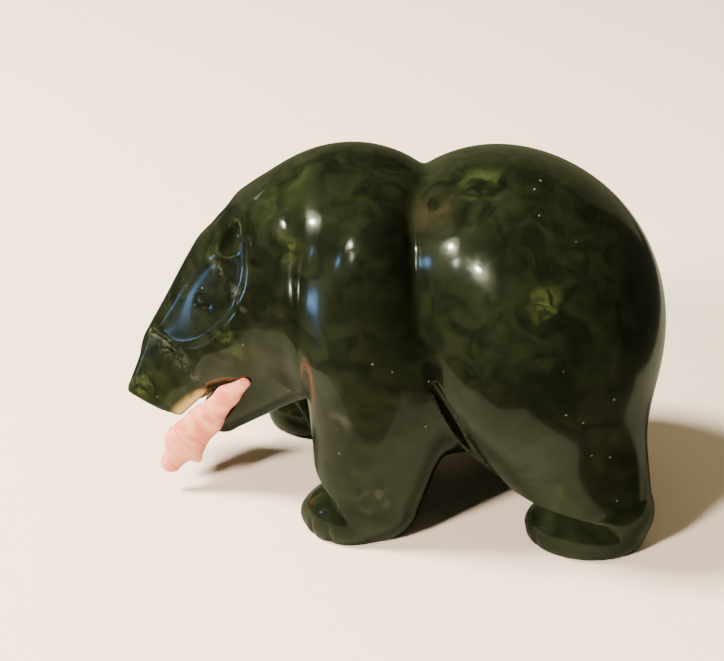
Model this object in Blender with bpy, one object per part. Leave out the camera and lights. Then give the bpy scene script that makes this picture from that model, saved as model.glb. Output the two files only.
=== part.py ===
"""A small polished jade bear, walking with a pink stone fish in its mouth.

Metres, +Z up. The origin is on the ground, under the middle of the bear's box. The bear faces -X
and its left side is at -Y. Each stone is first a field: a value for every point of space, below
zero inside the stone and above zero outside, worked out by geometry nodes in a block of space. A
node then finds the zero level, the way a carver comes down from the block to the skin. Lobes are
blended together as a polished stone is, and creases are scored into them as with a round burr.

LENGTH sets the real size. The shapes are drawn in units of their own, close to a millimetre, and
the whole drawing is brought to that length. Sizes below are in drawing units unless one says MM.
"""

import math

import bpy

MM = 0.001

# The bear's real length, and where the drawing has the end of the nose and of the rump.
LENGTH = 65.0 * MM
NOSE_X = -33.1
TAIL_X = 30.9
SCALE = LENGTH / (TAIL_X - NOSE_X)
MIDDLE_X = (NOSE_X + TAIL_X) / 2.0

# The grid that each field is read on, and the facets that are kept of it.
BEAR_GRID = 0.5
FISH_GRID = 0.2
BEAR_FACETS = 8300
FISH_FACETS = 1000

# The block of space that holds each stone, lowest and highest corner. The bear's goes a little
# under the ground, and the soles are cut flat at the ground afterwards.
SOLE_SPARE = 1.0
BEAR_BLOCK = ((-36.0, -19.0, -SOLE_SPARE), (34.0, 19.0, 47.0))
FISH_BLOCK = ((-32.0, -12.0, 0.0), (-13.0, 0.0, 22.0))

# Trunk lobes: centre and half axes.
HUMP = ((-5.0, 0.0, 30.6), (13.2, 8.9, 14.3))
MANE = ((-10.5, 0.0, 28.3), (10.3, 8.2, 11.5))
SHOULDER = ((-3.1, 7.4, 24.5), (7.0, 6.6, 16.1))
BELLY = ((5.4, 0.0, 17.7), (11.9, 11.1, 11.5))
LOIN = ((10.4, 0.0, 30.5), (14.2, 12.8, 14.1))
RUMP = ((16.2, 0.0, 23.2), (14.6, 16.4, 17.5))
NECK = ((-13.0, 0.0, 26.5), (7.5, 7.7, 13.4))
TRUNK_BLEND = 8.0
SHOULDER_BLEND = 5.0
BELLY_BLEND = 3.0
WAIST_BLEND = 1.2
NECK_BLEND = 1.0

# The hollow that is cut out lengthwise under the body, between the left and the right legs.
UNDERSIDE = ((-6.0, 0.0, 0.0), (40.0, 0.0, 0.0), 8.6, 8.6)
UNDERSIDE_FLATNESS = 0.6
UNDERSIDE_EDGE = 2.0

# The hollow between the front leg and the thigh on each side, narrow at the top. WEDGE_STEP is the
# share of the hind paw's step that its foot takes.
WEDGE = ((4.6, 12.9, 22.6), (10.6, 10.4, 10.0), 0.5, 1.3)
WEDGE_STEP = 0.7

# Head: a tapered bar from the poll to the muzzle, with cheeks and a jaw under it. Planes, each a
# spot and its outward direction, grind the sides of the face, the end of the muzzle, the lip and
# the corner of the mouth. The muzzle stands proud of the face within a reach of one (x, z) spot.
FACE = ((-18.4, 0.0, 28.8), (-25.7, 0.0, 16.8), 6.4, 5.8)
CHEEK = ((-18.6, 0.0, 22.3), (7.0, 7.0, 10.4))
JAW = ((-13.0, 0.0, 18.0), (-21.6, 0.0, 8.8), 5.6, 2.75)
JAW_FLATNESS = 1.3
MUZZLE = ((-27.5, 0.0, 13.45), (5.0, 5.0, 9.0), 0.8)
MUZZLE_LEAN = 22.5
FACE_SIDE = ((-28.4, 2.9, 23.4), (-0.387, 0.913, 0.127))
MUZZLE_PROUD = 0.5
MUZZLE_EDGE = (-30.6, 13.6)
MUZZLE_REACH = 8.15
MUZZLE_END = ((-32.7, 0.0, 12.4), (-0.247, 0.0, -0.969))
LIP = ((-26.3, 0.0, 10.5), (0.73, 0.0, -0.683))
LIP_DROP = 0.9
MOUTH_CORNER = ((-20.7, 0.0, 16.1), (0.683, 0.0, 0.73))
SIDE_ROUNDING = 1.2
END_ROUNDING = 0.5
LIP_ROUNDING = 0.6
STEP_ROUNDING = 0.4
HEAD_BLEND = 2.0
JAW_BLEND = 1.5

# The poll stands proud of the neck like a cap: its top and back planes and how far it is raised.
CAP_TOP = ((-15.3, 0.0, 39.7), (-0.25, 0.0, 0.97))
CAP_BACK = ((-10.8, 0.0, 33.0), (1.0, 0.0, 0.0))
CAP_CORNER = 6.0
CAP_LIFT = 0.45
CAP_EDGE = 0.7

# The hollow along each side of the face, from the ear to the cheek.
BOWL = ((-22.5, 0.0, 29.5), (4.6, 4.6, 9.5))
BOWL_LEAN = 29.0
BOWL_EDGE = 0.35

# Lines as (x, z) spots seen from the side, then their depth and half width. The ear's rim has a
# depth below zero, because it is raised.
NECK_LINE = ((-10.8, 35.5), (-10.6, 25.0), (-10.6, 16.0))
NECK_BURR = (0.3, 1.2)
EAR_LINE = (
    (-20.5, 33.6), (-20.8, 35.2), (-20.1, 36.9), (-18.9, 37.7), (-17.8, 37.4), (-17.0, 36.2),
    (-16.5, 34.6), (-16.2, 32.8), (-16.4, 30.8), (-17.2, 29.2),
)
EAR_RIM = (-0.35, 0.65)
EAR_CUP = ((-18.7, 5.1, 34.9), (1.6, 1.5, 2.8))
EAR_LEAN = 15.0
EYE = (-22.2, 27.0)
EYE_RING = 0.75
EYE_BURR = (0.12, 0.22)

# Legs, given for one side with y outwards: hip, ankle and the radii there. A cuff cuts the leg off
# over the paw with a spot, the cut's upward direction and the spot where the cut ends.
FRONT_LEG = ((-0.6, 7.6, 21.0), (-2.8, 10.2, 4.2), 9.5, 6.3)
FRONT_LEG_FLATNESS = 0.72
FRONT_CUFF = ((-8.2, 0.0, 7.2), (0.68, 0.0, 0.73), (-4.4, 0.0, 4.0))
FRONT_PAW = ((-5.0, 10.6, 1.9), (5.6, 4.2, 4.4))
FRONT_TOES = (-52.0, -22.0, 8.0, 38.0, 68.0)
HIND_LEG = ((15.3, 6.8, 22.9), (24.3, 10.3, 4.3), 12.4, 6.6)
HIND_LEG_FLATNESS = 0.63
HIND_CUFF = ((17.0, 0.0, 6.2), (0.15, 0.0, 0.99), (26.5, 0.0, 4.0))
HIND_PAW = ((23.1, 10.3, 1.8), (7.2, 4.7, 4.2))
HIND_TOES = (-56.0, -26.0, 4.0, 34.0)
CUFF_FADE = 3.0
CUFF_ROUNDING = 0.9
TOE_FOOT = 0.7
TOE_TIP = 0.2
TOE_HEIGHT = 2.6
PAW_BLEND = 0.4
FRONT_LEG_BLEND = 3.0
HIND_LEG_BLEND = 4.0

# The right paws stand this much further along -X than the left ones.
FRONT_STEP = -7.0
HIND_STEP = -6.0

# Fish: spots down its spine with the half depth there, and the two lobes of its tail.
FISH_SPINE = (
    ((-17.7, -6.4, 17.2), 0.7),
    ((-19.9, -6.1, 15.0), 1.2),
    ((-23.1, -4.9, 10.4), 1.9),
    ((-25.8, -4.8, 7.0), 2.4),
)
FISH_TAIL = (((-27.8, -5.6, 3.9), 1.3), ((-24.4, -5.2, 4.6), 0.5))
FISH_FLATNESS = 0.45
FISH_BLEND = 0.8
TAIL_ROOT = 0.8
FISH_GAP = 0.37 * MM

# How softly the ear cups, toes, wedges and the fish's room meet the skin.
CUT_EDGE = 0.4


class Field:
    """A value at every point of space; arithmetic on it adds nodes."""

    def __init__(self, tree, socket):
        self.tree = tree
        self.socket = socket

    def node(self, kind, operation, values, out=0):
        made = self.tree.nodes.new(kind)
        made.operation = operation
        for place, value in enumerate(values):
            if isinstance(value, Field):
                self.tree.links.new(value.socket, made.inputs[place])
            elif value is not None:
                made.inputs[place].default_value = value
        return Field(self.tree, made.outputs[out])

    def math(self, operation, *values):
        return self.node("ShaderNodeMath", operation, (self,) + values)

    def vector(self, operation, *values):
        return self.node("ShaderNodeVectorMath", operation, (self,) + values)

    def length(self):
        return self.node("ShaderNodeVectorMath", "LENGTH", (self,), out=1)

    def dot(self, axis):
        return self.node("ShaderNodeVectorMath", "DOT_PRODUCT", (self, axis), out=1)

    def along(self, axis):
        """An axis stretched by this value."""
        return self.node("ShaderNodeVectorMath", "SCALE", (axis, None, None, self))

    def __add__(self, other):
        return self.math("ADD", other)

    def __sub__(self, other):
        return self.math("SUBTRACT", other)

    def __mul__(self, other):
        return self.math("MULTIPLY", other)

    def __truediv__(self, other):
        return self.math("DIVIDE", other)

    def __neg__(self):
        return self.math("MULTIPLY", -1.0)


def joined(one, other, blend):
    """Both shapes as one, with a fillet about as wide as blend."""
    return one.math("SMOOTH_MIN", other, blend)


def shared(one, other, blend):
    """What both shapes hold, with the edge rounded."""
    return one.math("SMOOTH_MAX", other, blend)


def carved(one, other, blend):
    """The first shape with the second taken out of it."""
    return one.math("SMOOTH_MAX", -other, blend)


def raised(skin, lift, region, edge):
    """The skin with a region of it standing a little proud."""
    return joined(skin, shared(skin - lift, region, edge), edge)


def moved(spot, step):
    """The spot a step further along the body."""
    return (spot[0] + step, spot[1], spot[2])


def seen_from(point, centre, lean):
    """The point as a shape sees it that sits at a centre and leans about Y, in degrees."""
    local = point.vector("SUBTRACT", centre)
    if lean:
        turn = local.tree.nodes.new("ShaderNodeVectorRotate")
        turn.rotation_type = "Y_AXIS"
        turn.inputs["Angle"].default_value = math.radians(-lean)
        local.tree.links.new(local.socket, turn.inputs["Vector"])
        local = Field(local.tree, turn.outputs[0])
    return local


def egg(point, centre, half, lean=0.0):
    """An ellipsoid, with nearly the true distance close to its skin."""
    local = seen_from(point, centre, lean)
    near = local.vector("DIVIDE", half).length()
    steep = local.vector("DIVIDE", tuple(h * h for h in half)).length()
    return (near - 1.0) * near / steep.math("MAXIMUM", 0.5 / max(half))


def limb(point, top, foot, top_radius, foot_radius, flatness=1.0):
    """A tapered round bar between two points; flatness under 1 makes it thinner across Y."""
    scale = (1.0, 1.0 / flatness, 1.0)
    axis = tuple((b - a) * s for a, b, s in zip(top, foot, scale))
    reach = sum(a * a for a in axis)
    local = point.vector("SUBTRACT", top).vector("MULTIPLY", scale)
    share = (local.dot(axis) / reach).math("MAXIMUM", 0.0).math("MINIMUM", 1.0)
    gap = local.vector("SUBTRACT", share.along(axis)).length()
    return (gap - (share * (foot_radius - top_radius) + top_radius)) * flatness


def slab(point, centre, half, rounding, lean):
    """A box with rounded edges."""
    local = seen_from(point, centre, lean)
    over = local.vector("ABSOLUTE").vector("SUBTRACT", tuple(h - rounding for h in half))
    outside = over.vector("MAXIMUM", (0.0, 0.0, 0.0)).length()
    deepest = over.dot((1.0, 0.0, 0.0)).math("MAXIMUM", over.dot((0.0, 1.0, 0.0)))
    inside = deepest.math("MAXIMUM", over.dot((0.0, 0.0, 1.0))).math("MINIMUM", 0.0)
    return outside + inside - rounding


def cut(point, spot, outward):
    """Below zero behind a plane."""
    return point.vector("SUBTRACT", spot).dot(outward)


def from_side(point):
    return point.vector("MULTIPLY", (1.0, 0.0, 1.0))


def beside(point, spot):
    """Distance, seen from the side, to one (x, z) spot."""
    return from_side(point).vector("SUBTRACT", (spot[0], 0.0, spot[1])).length()


def track(point, spots):
    """Distance, seen from the side, to a line drawn through (x, z) spots."""
    across = from_side(point)
    nearest = None
    for (x0, z0), (x1, z1) in zip(spots, spots[1:]):
        stretch = limb(across, (x0, 0.0, z0), (x1, 0.0, z1), 0.0, 0.0)
        nearest = stretch if nearest is None else nearest.math("MINIMUM", stretch)
    return nearest


def scored(skin, gap, depth, half_width):
    """The skin with a soft groove along a track."""
    dip = (-(gap / half_width).math("POWER", 2.0)).math("EXPONENT")
    return skin + dip * depth


def leg_skin(point, bone, flatness, cuff, paw, toes, step):
    """One leg that ends in a cuff over its paw, with the notches between the toes."""
    hip, ankle, hip_radius, ankle_radius = bone
    shank = limb(point, hip, moved(ankle, step), hip_radius, ankle_radius, flatness)
    spot, upward, end = cuff
    under = cut(point, moved(spot, step), upward)
    under = shared(under, cut(point, moved(end, step), (1.0, 0.0, 0.0)), CUFF_FADE)
    shank = carved(shank, under, CUFF_ROUNDING)
    centre, half = paw
    centre = moved(centre, step)
    skin = joined(shank, egg(point, centre, half), PAW_BLEND)
    for angle in toes:
        turn = math.radians(angle)
        x = centre[0] - half[0] * math.cos(turn)
        y = centre[1] + half[1] * math.sin(turn)
        notch = limb(point, (x, y, -SOLE_SPARE), (x, y, TOE_HEIGHT), TOE_FOOT, TOE_TIP)
        skin = carved(skin, notch, CUT_EDGE)
    return skin


def face_skin(point, side):
    """Face, cheeks and jaw. The side is a plane's field that grinds both sides of the face."""
    face = shared(limb(point, *FACE), side, SIDE_ROUNDING)
    face = joined(face, egg(point, *CHEEK), HEAD_BLEND)
    mouth = shared(-(cut(point, *LIP) - LIP_DROP), cut(point, *MOUTH_CORNER), LIP_ROUNDING)
    face = carved(face, mouth, LIP_ROUNDING)
    return joined(face, limb(point, *JAW, JAW_FLATNESS), JAW_BLEND)


def muzzle_skin(point, side):
    """The blunt muzzle, a little prouder than the face behind it."""
    muzzle = shared(slab(point, *MUZZLE, MUZZLE_LEAN), side - MUZZLE_PROUD, SIDE_ROUNDING)
    muzzle = shared(muzzle, beside(point, MUZZLE_EDGE) - MUZZLE_REACH, STEP_ROUNDING)
    muzzle = shared(muzzle, cut(point, *LIP), LIP_ROUNDING)
    return shared(muzzle, cut(point, *MUZZLE_END), END_ROUNDING)


def trunk_skin(point, mirrored, folded):
    """Shoulders, rump and legs, hollowed under the body and between the legs."""
    front = joined(egg(point, *HUMP), egg(point, *MANE), TRUNK_BLEND)
    front = joined(front, egg(folded, *SHOULDER), SHOULDER_BLEND)
    front = joined(front, egg(point, *BELLY), BELLY_BLEND)
    back = joined(egg(point, *RUMP), egg(point, *LOIN), TRUNK_BLEND)
    wedges = []
    for side, front_step, hind_step in ((mirrored, 0.0, 0.0), (point, FRONT_STEP, HIND_STEP)):
        leg = leg_skin(
            side, FRONT_LEG, FRONT_LEG_FLATNESS, FRONT_CUFF, FRONT_PAW, FRONT_TOES, front_step
        )
        front = joined(front, leg, FRONT_LEG_BLEND)
        leg = leg_skin(
            side, HIND_LEG, HIND_LEG_FLATNESS, HIND_CUFF, HIND_PAW, HIND_TOES, hind_step
        )
        back = joined(back, leg, HIND_LEG_BLEND)
        top, foot, top_radius, foot_radius = WEDGE
        foot = moved(foot, hind_step * WEDGE_STEP)
        wedges.append(limb(side, top, foot, top_radius, foot_radius))
    skin = joined(front, back, WAIST_BLEND)
    skin = carved(skin, wedges[0].math("MINIMUM", wedges[1]), CUT_EDGE)
    return carved(skin, limb(point, *UNDERSIDE, UNDERSIDE_FLATNESS), UNDERSIDE_EDGE)


def bear_skin(point):
    mirrored = point.vector("MULTIPLY", (1.0, -1.0, 1.0))
    folded = point.vector("MAXIMUM", mirrored)
    skin = joined(trunk_skin(point, mirrored, folded), egg(point, *NECK), NECK_BLEND)
    cap = shared(cut(point, *CAP_TOP), cut(point, *CAP_BACK), CAP_CORNER)
    skin = raised(skin, CAP_LIFT, cap, CAP_EDGE)
    side = cut(folded, *FACE_SIDE)
    skin = joined(skin, face_skin(point, side), HEAD_BLEND)
    skin = scored(skin, track(point, NECK_LINE), *NECK_BURR)
    bowl = egg(from_side(point), *BOWL, BOWL_LEAN)
    skin = carved(skin, shared(bowl, -side, BOWL_EDGE), BOWL_EDGE)
    skin = joined(skin, muzzle_skin(point, side), STEP_ROUNDING)
    skin = scored(skin, track(point, EAR_LINE), *EAR_RIM)
    skin = carved(skin, egg(folded, *EAR_CUP, EAR_LEAN), CUT_EDGE)
    eye = (beside(point, EYE) - EYE_RING).math("ABSOLUTE")
    skin = scored(skin, eye, *EYE_BURR)
    return carved(skin, fish_skin(point) - FISH_GAP / SCALE, CUT_EDGE)


def fish_skin(point):
    body = None
    for (start, start_half), (end, end_half) in zip(FISH_SPINE, FISH_SPINE[1:]):
        stretch = limb(point, start, end, start_half, end_half, FISH_FLATNESS)
        body = stretch if body is None else joined(body, stretch, FISH_BLEND)
    root, root_half = FISH_SPINE[-1]
    for tip, tip_half in FISH_TAIL:
        lobe = limb(point, root, tip, root_half * TAIL_ROOT, tip_half, FISH_FLATNESS)
        body = joined(body, lobe, FISH_BLEND)
    return body


def read_field(name, skin, block, grid, material):
    """A node group that reads a field on a grid inside a block and meshes its zero level."""
    tree = bpy.data.node_groups.new(name, "GeometryNodeTree")
    tree.interface.new_socket("Geometry", in_out="OUTPUT", socket_type="NodeSocketGeometry")
    position = Field(tree, tree.nodes.new("GeometryNodeInputPosition").outputs[0])
    space = tree.nodes.new("GeometryNodeVolumeCube")
    space.inputs["Background"].default_value = -1.0
    low, high = block
    space.inputs["Min"].default_value = low
    space.inputs["Max"].default_value = high
    for axis, near, far in zip("XYZ", low, high):
        space.inputs["Resolution " + axis].default_value = round((far - near) / grid)
    tree.links.new((-skin(position)).socket, space.inputs["Density"])
    mesh = tree.nodes.new("GeometryNodeVolumeToMesh")
    mesh.inputs["Threshold"].default_value = 0.0
    tree.links.new(space.outputs["Volume"], mesh.inputs["Volume"])
    size = tree.nodes.new("GeometryNodeTransform")
    size.inputs["Translation"].default_value = (-MIDDLE_X * SCALE, 0.0, 0.0)
    size.inputs["Scale"].default_value = (SCALE, SCALE, SCALE)
    tree.links.new(mesh.outputs["Mesh"], size.inputs["Geometry"])
    finish = tree.nodes.new("GeometryNodeSetMaterial")
    finish.inputs["Material"].default_value = material
    tree.links.new(size.outputs["Geometry"], finish.inputs["Geometry"])
    smooth = tree.nodes.new("GeometryNodeSetShadeSmooth")
    tree.links.new(finish.outputs["Geometry"], smooth.inputs["Geometry"])
    out = tree.nodes.new("NodeGroupOutput")
    tree.links.new(smooth.outputs["Geometry"], out.inputs[0])
    return tree


def stone(name, colour, roughness):
    material = bpy.data.materials.new(name)
    material.use_nodes = True
    surface = material.node_tree.nodes["Principled BSDF"]
    surface.inputs["Base Color"].default_value = colour
    surface.inputs["Roughness"].default_value = roughness
    surface.inputs["Metallic"].default_value = 0.0
    return material


def carve(name, skin, block, grid, facets, material, collection):
    """A mesh object of one stone, with about the given number of facets."""
    made = bpy.data.objects.new(name, bpy.data.meshes.new(name))
    collection.objects.link(made)
    reading = made.modifiers.new("Carving", "NODES")
    reading.node_group = read_field(name, skin, block, grid, material)
    bpy.context.view_layer.update()
    full = made.evaluated_get(bpy.context.evaluated_depsgraph_get())
    count = sum(len(face.vertices) - 2 for face in full.data.polygons)
    thinning = made.modifiers.new("Facets", "DECIMATE")
    thinning.ratio = min(1.0, facets / count)
    made.data.materials.append(material)
    return made


def floor_cutter(collection):
    """The block that cuts the soles flat on the ground."""
    length, width, depth = 2.0 * LENGTH, LENGTH, LENGTH / 8.0
    bpy.ops.mesh.primitive_cube_add(size=1.0)
    cutter = bpy.context.object
    cutter.name = "floor_cutter"
    cutter.dimensions = (length, width, depth)
    cutter.location = (0.0, 0.0, -depth / 2.0)
    for owner in cutter.users_collection:
        owner.objects.unlink(cutter)
    collection.objects.link(cutter)
    cutter.hide_render = True
    cutter.display_type = "WIRE"
    return cutter


def main():
    for thing in list(bpy.data.objects):
        bpy.data.objects.remove(thing)
    pieces = bpy.data.collections.new("jade_bear_carving")
    cutters = bpy.data.collections.new("cutters")
    for collection in (pieces, cutters):
        bpy.context.scene.collection.children.link(collection)
    jade = stone("nephrite_jade", (0.018, 0.03, 0.008, 1.0), 0.12)
    pink = stone("pink_stone", (0.78, 0.42, 0.36, 1.0), 0.3)
    bear = carve("bear", bear_skin, BEAR_BLOCK, BEAR_GRID, BEAR_FACETS, jade, pieces)
    soles = bear.modifiers.new("Soles", "BOOLEAN")
    soles.operation = "DIFFERENCE"
    soles.object = floor_cutter(cutters)
    carve("fish", fish_skin, FISH_BLOCK, FISH_GRID, FISH_FACETS, pink, pieces)


main()
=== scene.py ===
# %% [markdown]
# # A jade bear with a pink fish
#
# The object is a desk carving, 65 mm long: a stout bear walks with its head down and carries a
# small pink fish in its mouth. A carver saws a block of dark green nephrite, grinds it with
# wheels and burrs, and polishes it until the room shows in it. The fish is a sliver of a
# second stone, let into the mouth.
#
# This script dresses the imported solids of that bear. It loads them, makes a finer skin for both
# stones in the same place, and gives them stone materials, a floor, lights and a camera.

import math

import bpy
import numpy as np
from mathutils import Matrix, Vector


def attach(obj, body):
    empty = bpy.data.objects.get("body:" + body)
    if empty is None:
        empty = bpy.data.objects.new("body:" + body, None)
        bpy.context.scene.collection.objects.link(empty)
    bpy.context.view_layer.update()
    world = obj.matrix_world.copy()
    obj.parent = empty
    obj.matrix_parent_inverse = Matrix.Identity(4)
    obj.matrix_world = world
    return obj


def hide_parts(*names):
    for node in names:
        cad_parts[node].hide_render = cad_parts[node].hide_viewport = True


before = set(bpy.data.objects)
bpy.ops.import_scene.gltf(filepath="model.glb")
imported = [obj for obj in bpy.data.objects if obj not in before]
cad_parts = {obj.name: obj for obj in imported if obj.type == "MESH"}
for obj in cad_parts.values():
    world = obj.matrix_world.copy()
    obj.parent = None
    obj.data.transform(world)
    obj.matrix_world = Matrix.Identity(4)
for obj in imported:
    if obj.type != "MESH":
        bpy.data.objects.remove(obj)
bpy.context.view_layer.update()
print("solids:", sorted(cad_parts))

# %% [markdown]
# ## The drawing and its scale
#
# The bear is drawn in units close to a millimetre, and the whole drawing is then brought to the
# real length. The ground is z = 0, the nose points along -x, and the left side, the one that
# the photograph shows, is at -y.

# %% Scale
MM = 0.001
LENGTH = 65.0 * MM
NOSE_X = -33.1
TAIL_X = 30.9
SCALE = LENGTH / (TAIL_X - NOSE_X)
MIDDLE_X = (NOSE_X + TAIL_X) / 2.0


def placed(points):
    """Drawing points as metres in the frame of the solids."""
    return (np.asarray(points, float) - (MIDDLE_X, 0.0, 0.0)) * SCALE


print("one drawing unit is", round(SCALE * 1000, 4), "mm")

# %% [markdown]
# ## Stone as a field
#
# A polished animal has no flat patches and no edges to start a mesh from. Sculpting by hand or
# a subdivision cage would both work. Here each stone is a *field* instead: a function that
# gives every point of space a number, below zero inside the stone and above zero outside.
# Fields suit carving well. The smaller of two fields is both shapes at once, the larger is what
# they share, and a soft minimum leaves the fillet that polishing leaves.

# %% Blending fields
def joined(one, other, blend):
    """Both shapes as one, with a fillet about as wide as blend."""
    near = np.maximum(blend - np.abs(one - other), 0.0) / blend
    return np.minimum(one, other) - near ** 3 * blend / 6.0


def shared(one, other, blend):
    """What both shapes hold, with the edge rounded."""
    return -joined(-one, -other, blend)


def carved(one, other, blend):
    """The first shape with the second taken out of it."""
    return -joined(-one, other, blend)


def raised(skin, lift, region, edge):
    """The skin with a region of it standing a little proud."""
    return joined(skin, shared(skin - lift, region, edge), edge)


def length(vectors):
    return np.sqrt(np.einsum("ij,ij->i", vectors, vectors))


# %% [markdown]
# ## Four basic forms
#
# Almost everything on the bear is one of four forms: an egg for a mass of flesh, a tapered bar
# for a limb, a box with rounded edges for the blunt muzzle, and a plane where the carver's wheel
# has cut a facet.

# %% Eggs, bars, boxes and planes
LEAST_STEEPNESS = 0.5


def seen_from(point, centre, lean):
    """The points as a shape sees them that sits at a centre and leans about y, in degrees."""
    local = point - centre
    if lean:
        c, s = math.cos(math.radians(lean)), math.sin(math.radians(lean))
        local = np.column_stack((
            c * local[:, 0] - s * local[:, 2],
            local[:, 1],
            s * local[:, 0] + c * local[:, 2],
        ))
    return local


def egg(point, centre, half, lean=0.0):
    """An ellipsoid, with nearly the true distance close to its skin."""
    half = np.array(half)
    local = seen_from(point, centre, lean)
    near = length(local / half)
    steep = length(local / half ** 2)
    return (near - 1.0) * near / np.maximum(steep, LEAST_STEEPNESS / half.max())


def limb(point, top, foot, top_radius, foot_radius, flatness=1.0):
    """A tapered round bar between two points; flatness under 1 makes it thinner across y."""
    scale = np.array((1.0, 1.0 / flatness, 1.0))
    axis = (np.array(foot) - top) * scale
    local = (point - top) * scale
    share = np.clip(local @ axis / (axis @ axis), 0.0, 1.0)
    gap = length(local - share[:, None] * axis)
    return (gap - (top_radius + share * (foot_radius - top_radius))) * flatness


def slab(point, centre, half, rounding, lean):
    """A box with rounded edges."""
    over = np.abs(seen_from(point, centre, lean)) - (np.array(half) - rounding)
    return length(np.maximum(over, 0.0)) + np.minimum(over.max(axis=1), 0.0) - rounding


def cut(point, spot, outward):
    """Below zero behind a plane."""
    return (point - spot) @ np.array(outward)


# %% [markdown]
# ## Scored lines
#
# The fold behind the cheek and the ring of the eye are cut with a round burr. Each is a line
# drawn on the side view, and the skin sinks by a bell-shaped dip beside it. A dip like this has
# no rim, so it looks ground and polished, not engraved. The same dip with its depth below zero
# makes a low ridge, as on the rim of the ear.

# %% Grooves
def from_side(point):
    return point * (1.0, 0.0, 1.0)


def beside(point, spot):
    """Distance, seen from the side, to one (x, z) spot."""
    return length(from_side(point) - (spot[0], 0.0, spot[1]))


def track(point, spots):
    """Distance, seen from the side, to a line drawn through (x, z) spots."""
    across = from_side(point)
    nearest = None
    for (x0, z0), (x1, z1) in zip(spots, spots[1:]):
        stretch = limb(across, (x0, 0.0, z0), (x1, 0.0, z1), 0.0, 0.0)
        nearest = stretch if nearest is None else np.minimum(nearest, stretch)
    return nearest


def scored(skin, gap, depth, half_width):
    """The skin with a soft groove along a track."""
    return skin + depth * np.exp(-(gap / half_width) ** 2)


# %% [markdown]
# ## Legs and paws
#
# Each leg is one tapered bar, flattened against the body, with an egg for the paw. A crease
# over the paw makes it step out from the leg, and short notches at the ground part the toes.
# The right paws stand further forward than the left ones, because the bear is walking.

# %% Legs
SOLE_SPARE = 1.0
FRONT_LEG = ((-0.6, 7.6, 21.0), (-2.8, 10.2, 4.2), 9.5, 6.3)
FRONT_LEG_FLATNESS = 0.72
FRONT_CUFF = ((-8.2, 0.0, 7.2), (0.68, 0.0, 0.73), (-4.4, 0.0, 4.0))
FRONT_PAW = ((-5.0, 10.6, 1.9), (5.6, 4.2, 4.4))
FRONT_TOES = (-52.0, -22.0, 8.0, 38.0, 68.0)
FRONT_STEP = -7.0
HIND_LEG = ((15.3, 6.8, 22.9), (24.3, 10.3, 4.3), 12.4, 6.6)
HIND_LEG_FLATNESS = 0.63
HIND_CUFF = ((17.0, 0.0, 6.2), (0.15, 0.0, 0.99), (26.5, 0.0, 4.0))
HIND_PAW = ((23.1, 10.3, 1.8), (7.2, 4.7, 4.2))
HIND_TOES = (-56.0, -26.0, 4.0, 34.0)
HIND_STEP = -6.0
CUFF_FADE = 3.0
CUFF_ROUNDING = 0.9
TOE_FOOT = 0.7
TOE_TIP = 0.2
TOE_HEIGHT = 2.6
PAW_BLEND = 0.4
CUT_EDGE = 0.4


def moved(spot, step):
    """The spot a step further along the body."""
    return (spot[0] + step, spot[1], spot[2])


def leg_skin(point, bone, flatness, cuff, paw, toes, step):
    """One leg that ends in a cuff over its paw, with the notches between the toes."""
    hip, ankle, hip_radius, ankle_radius = bone
    shank = limb(point, hip, moved(ankle, step), hip_radius, ankle_radius, flatness)
    spot, upward, end = cuff
    under = cut(point, moved(spot, step), upward)
    under = shared(under, cut(point, moved(end, step), (1.0, 0.0, 0.0)), CUFF_FADE)
    shank = carved(shank, under, CUFF_ROUNDING)
    centre, half = paw
    centre = moved(centre, step)
    skin = joined(shank, egg(point, centre, half), PAW_BLEND)
    for angle in toes:
        turn = math.radians(angle)
        x = centre[0] - half[0] * math.cos(turn)
        y = centre[1] + half[1] * math.sin(turn)
        notch = limb(point, (x, y, -SOLE_SPARE), (x, y, TOE_HEIGHT), TOE_FOOT, TOE_TIP)
        skin = carved(skin, notch, CUT_EDGE)
    return skin


# %% [markdown]
# ## The head
#
# The head is a tapered bar with flat facets ground on it: two sides of the face, the blunt end
# of the muzzle and the sloping lip. The muzzle stands a little proud of the forehead, as a
# block does that the wheel has not gone over yet.

# %% Head
FACE = ((-18.4, 0.0, 28.8), (-25.7, 0.0, 16.8), 6.4, 5.8)
CHEEK = ((-18.6, 0.0, 22.3), (7.0, 7.0, 10.4))
JAW = ((-13.0, 0.0, 18.0), (-21.6, 0.0, 8.8), 5.6, 2.75)
JAW_FLATNESS = 1.3
MUZZLE = ((-27.5, 0.0, 13.45), (5.0, 5.0, 9.0), 0.8)
MUZZLE_LEAN = 22.5
FACE_SIDE = ((-28.4, 2.9, 23.4), (-0.387, 0.913, 0.127))
MUZZLE_PROUD = 0.5
MUZZLE_EDGE = (-30.6, 13.6)
MUZZLE_REACH = 8.15
MUZZLE_END = ((-32.7, 0.0, 12.4), (-0.247, 0.0, -0.969))
LIP = ((-26.3, 0.0, 10.5), (0.73, 0.0, -0.683))
SIDE_ROUNDING = 1.2
END_ROUNDING = 0.5
LIP_ROUNDING = 0.6
STEP_ROUNDING = 0.4
HEAD_BLEND = 3.0
JAW_BLEND = 1.5
LIP_DROP = 0.9
MOUTH_CORNER = ((-20.7, 0.0, 16.1), (0.683, 0.0, 0.73))


def face_skin(point, side):
    """Face, cheeks and jaw. The side is a plane's field that grinds both sides of the face."""
    face = shared(limb(point, *FACE), side, SIDE_ROUNDING)
    face = joined(face, egg(point, *CHEEK), HEAD_BLEND)
    mouth = shared(LIP_DROP - cut(point, *LIP), cut(point, *MOUTH_CORNER), LIP_ROUNDING)
    face = carved(face, mouth, LIP_ROUNDING)
    return joined(face, limb(point, *JAW, JAW_FLATNESS), JAW_BLEND)


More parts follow.
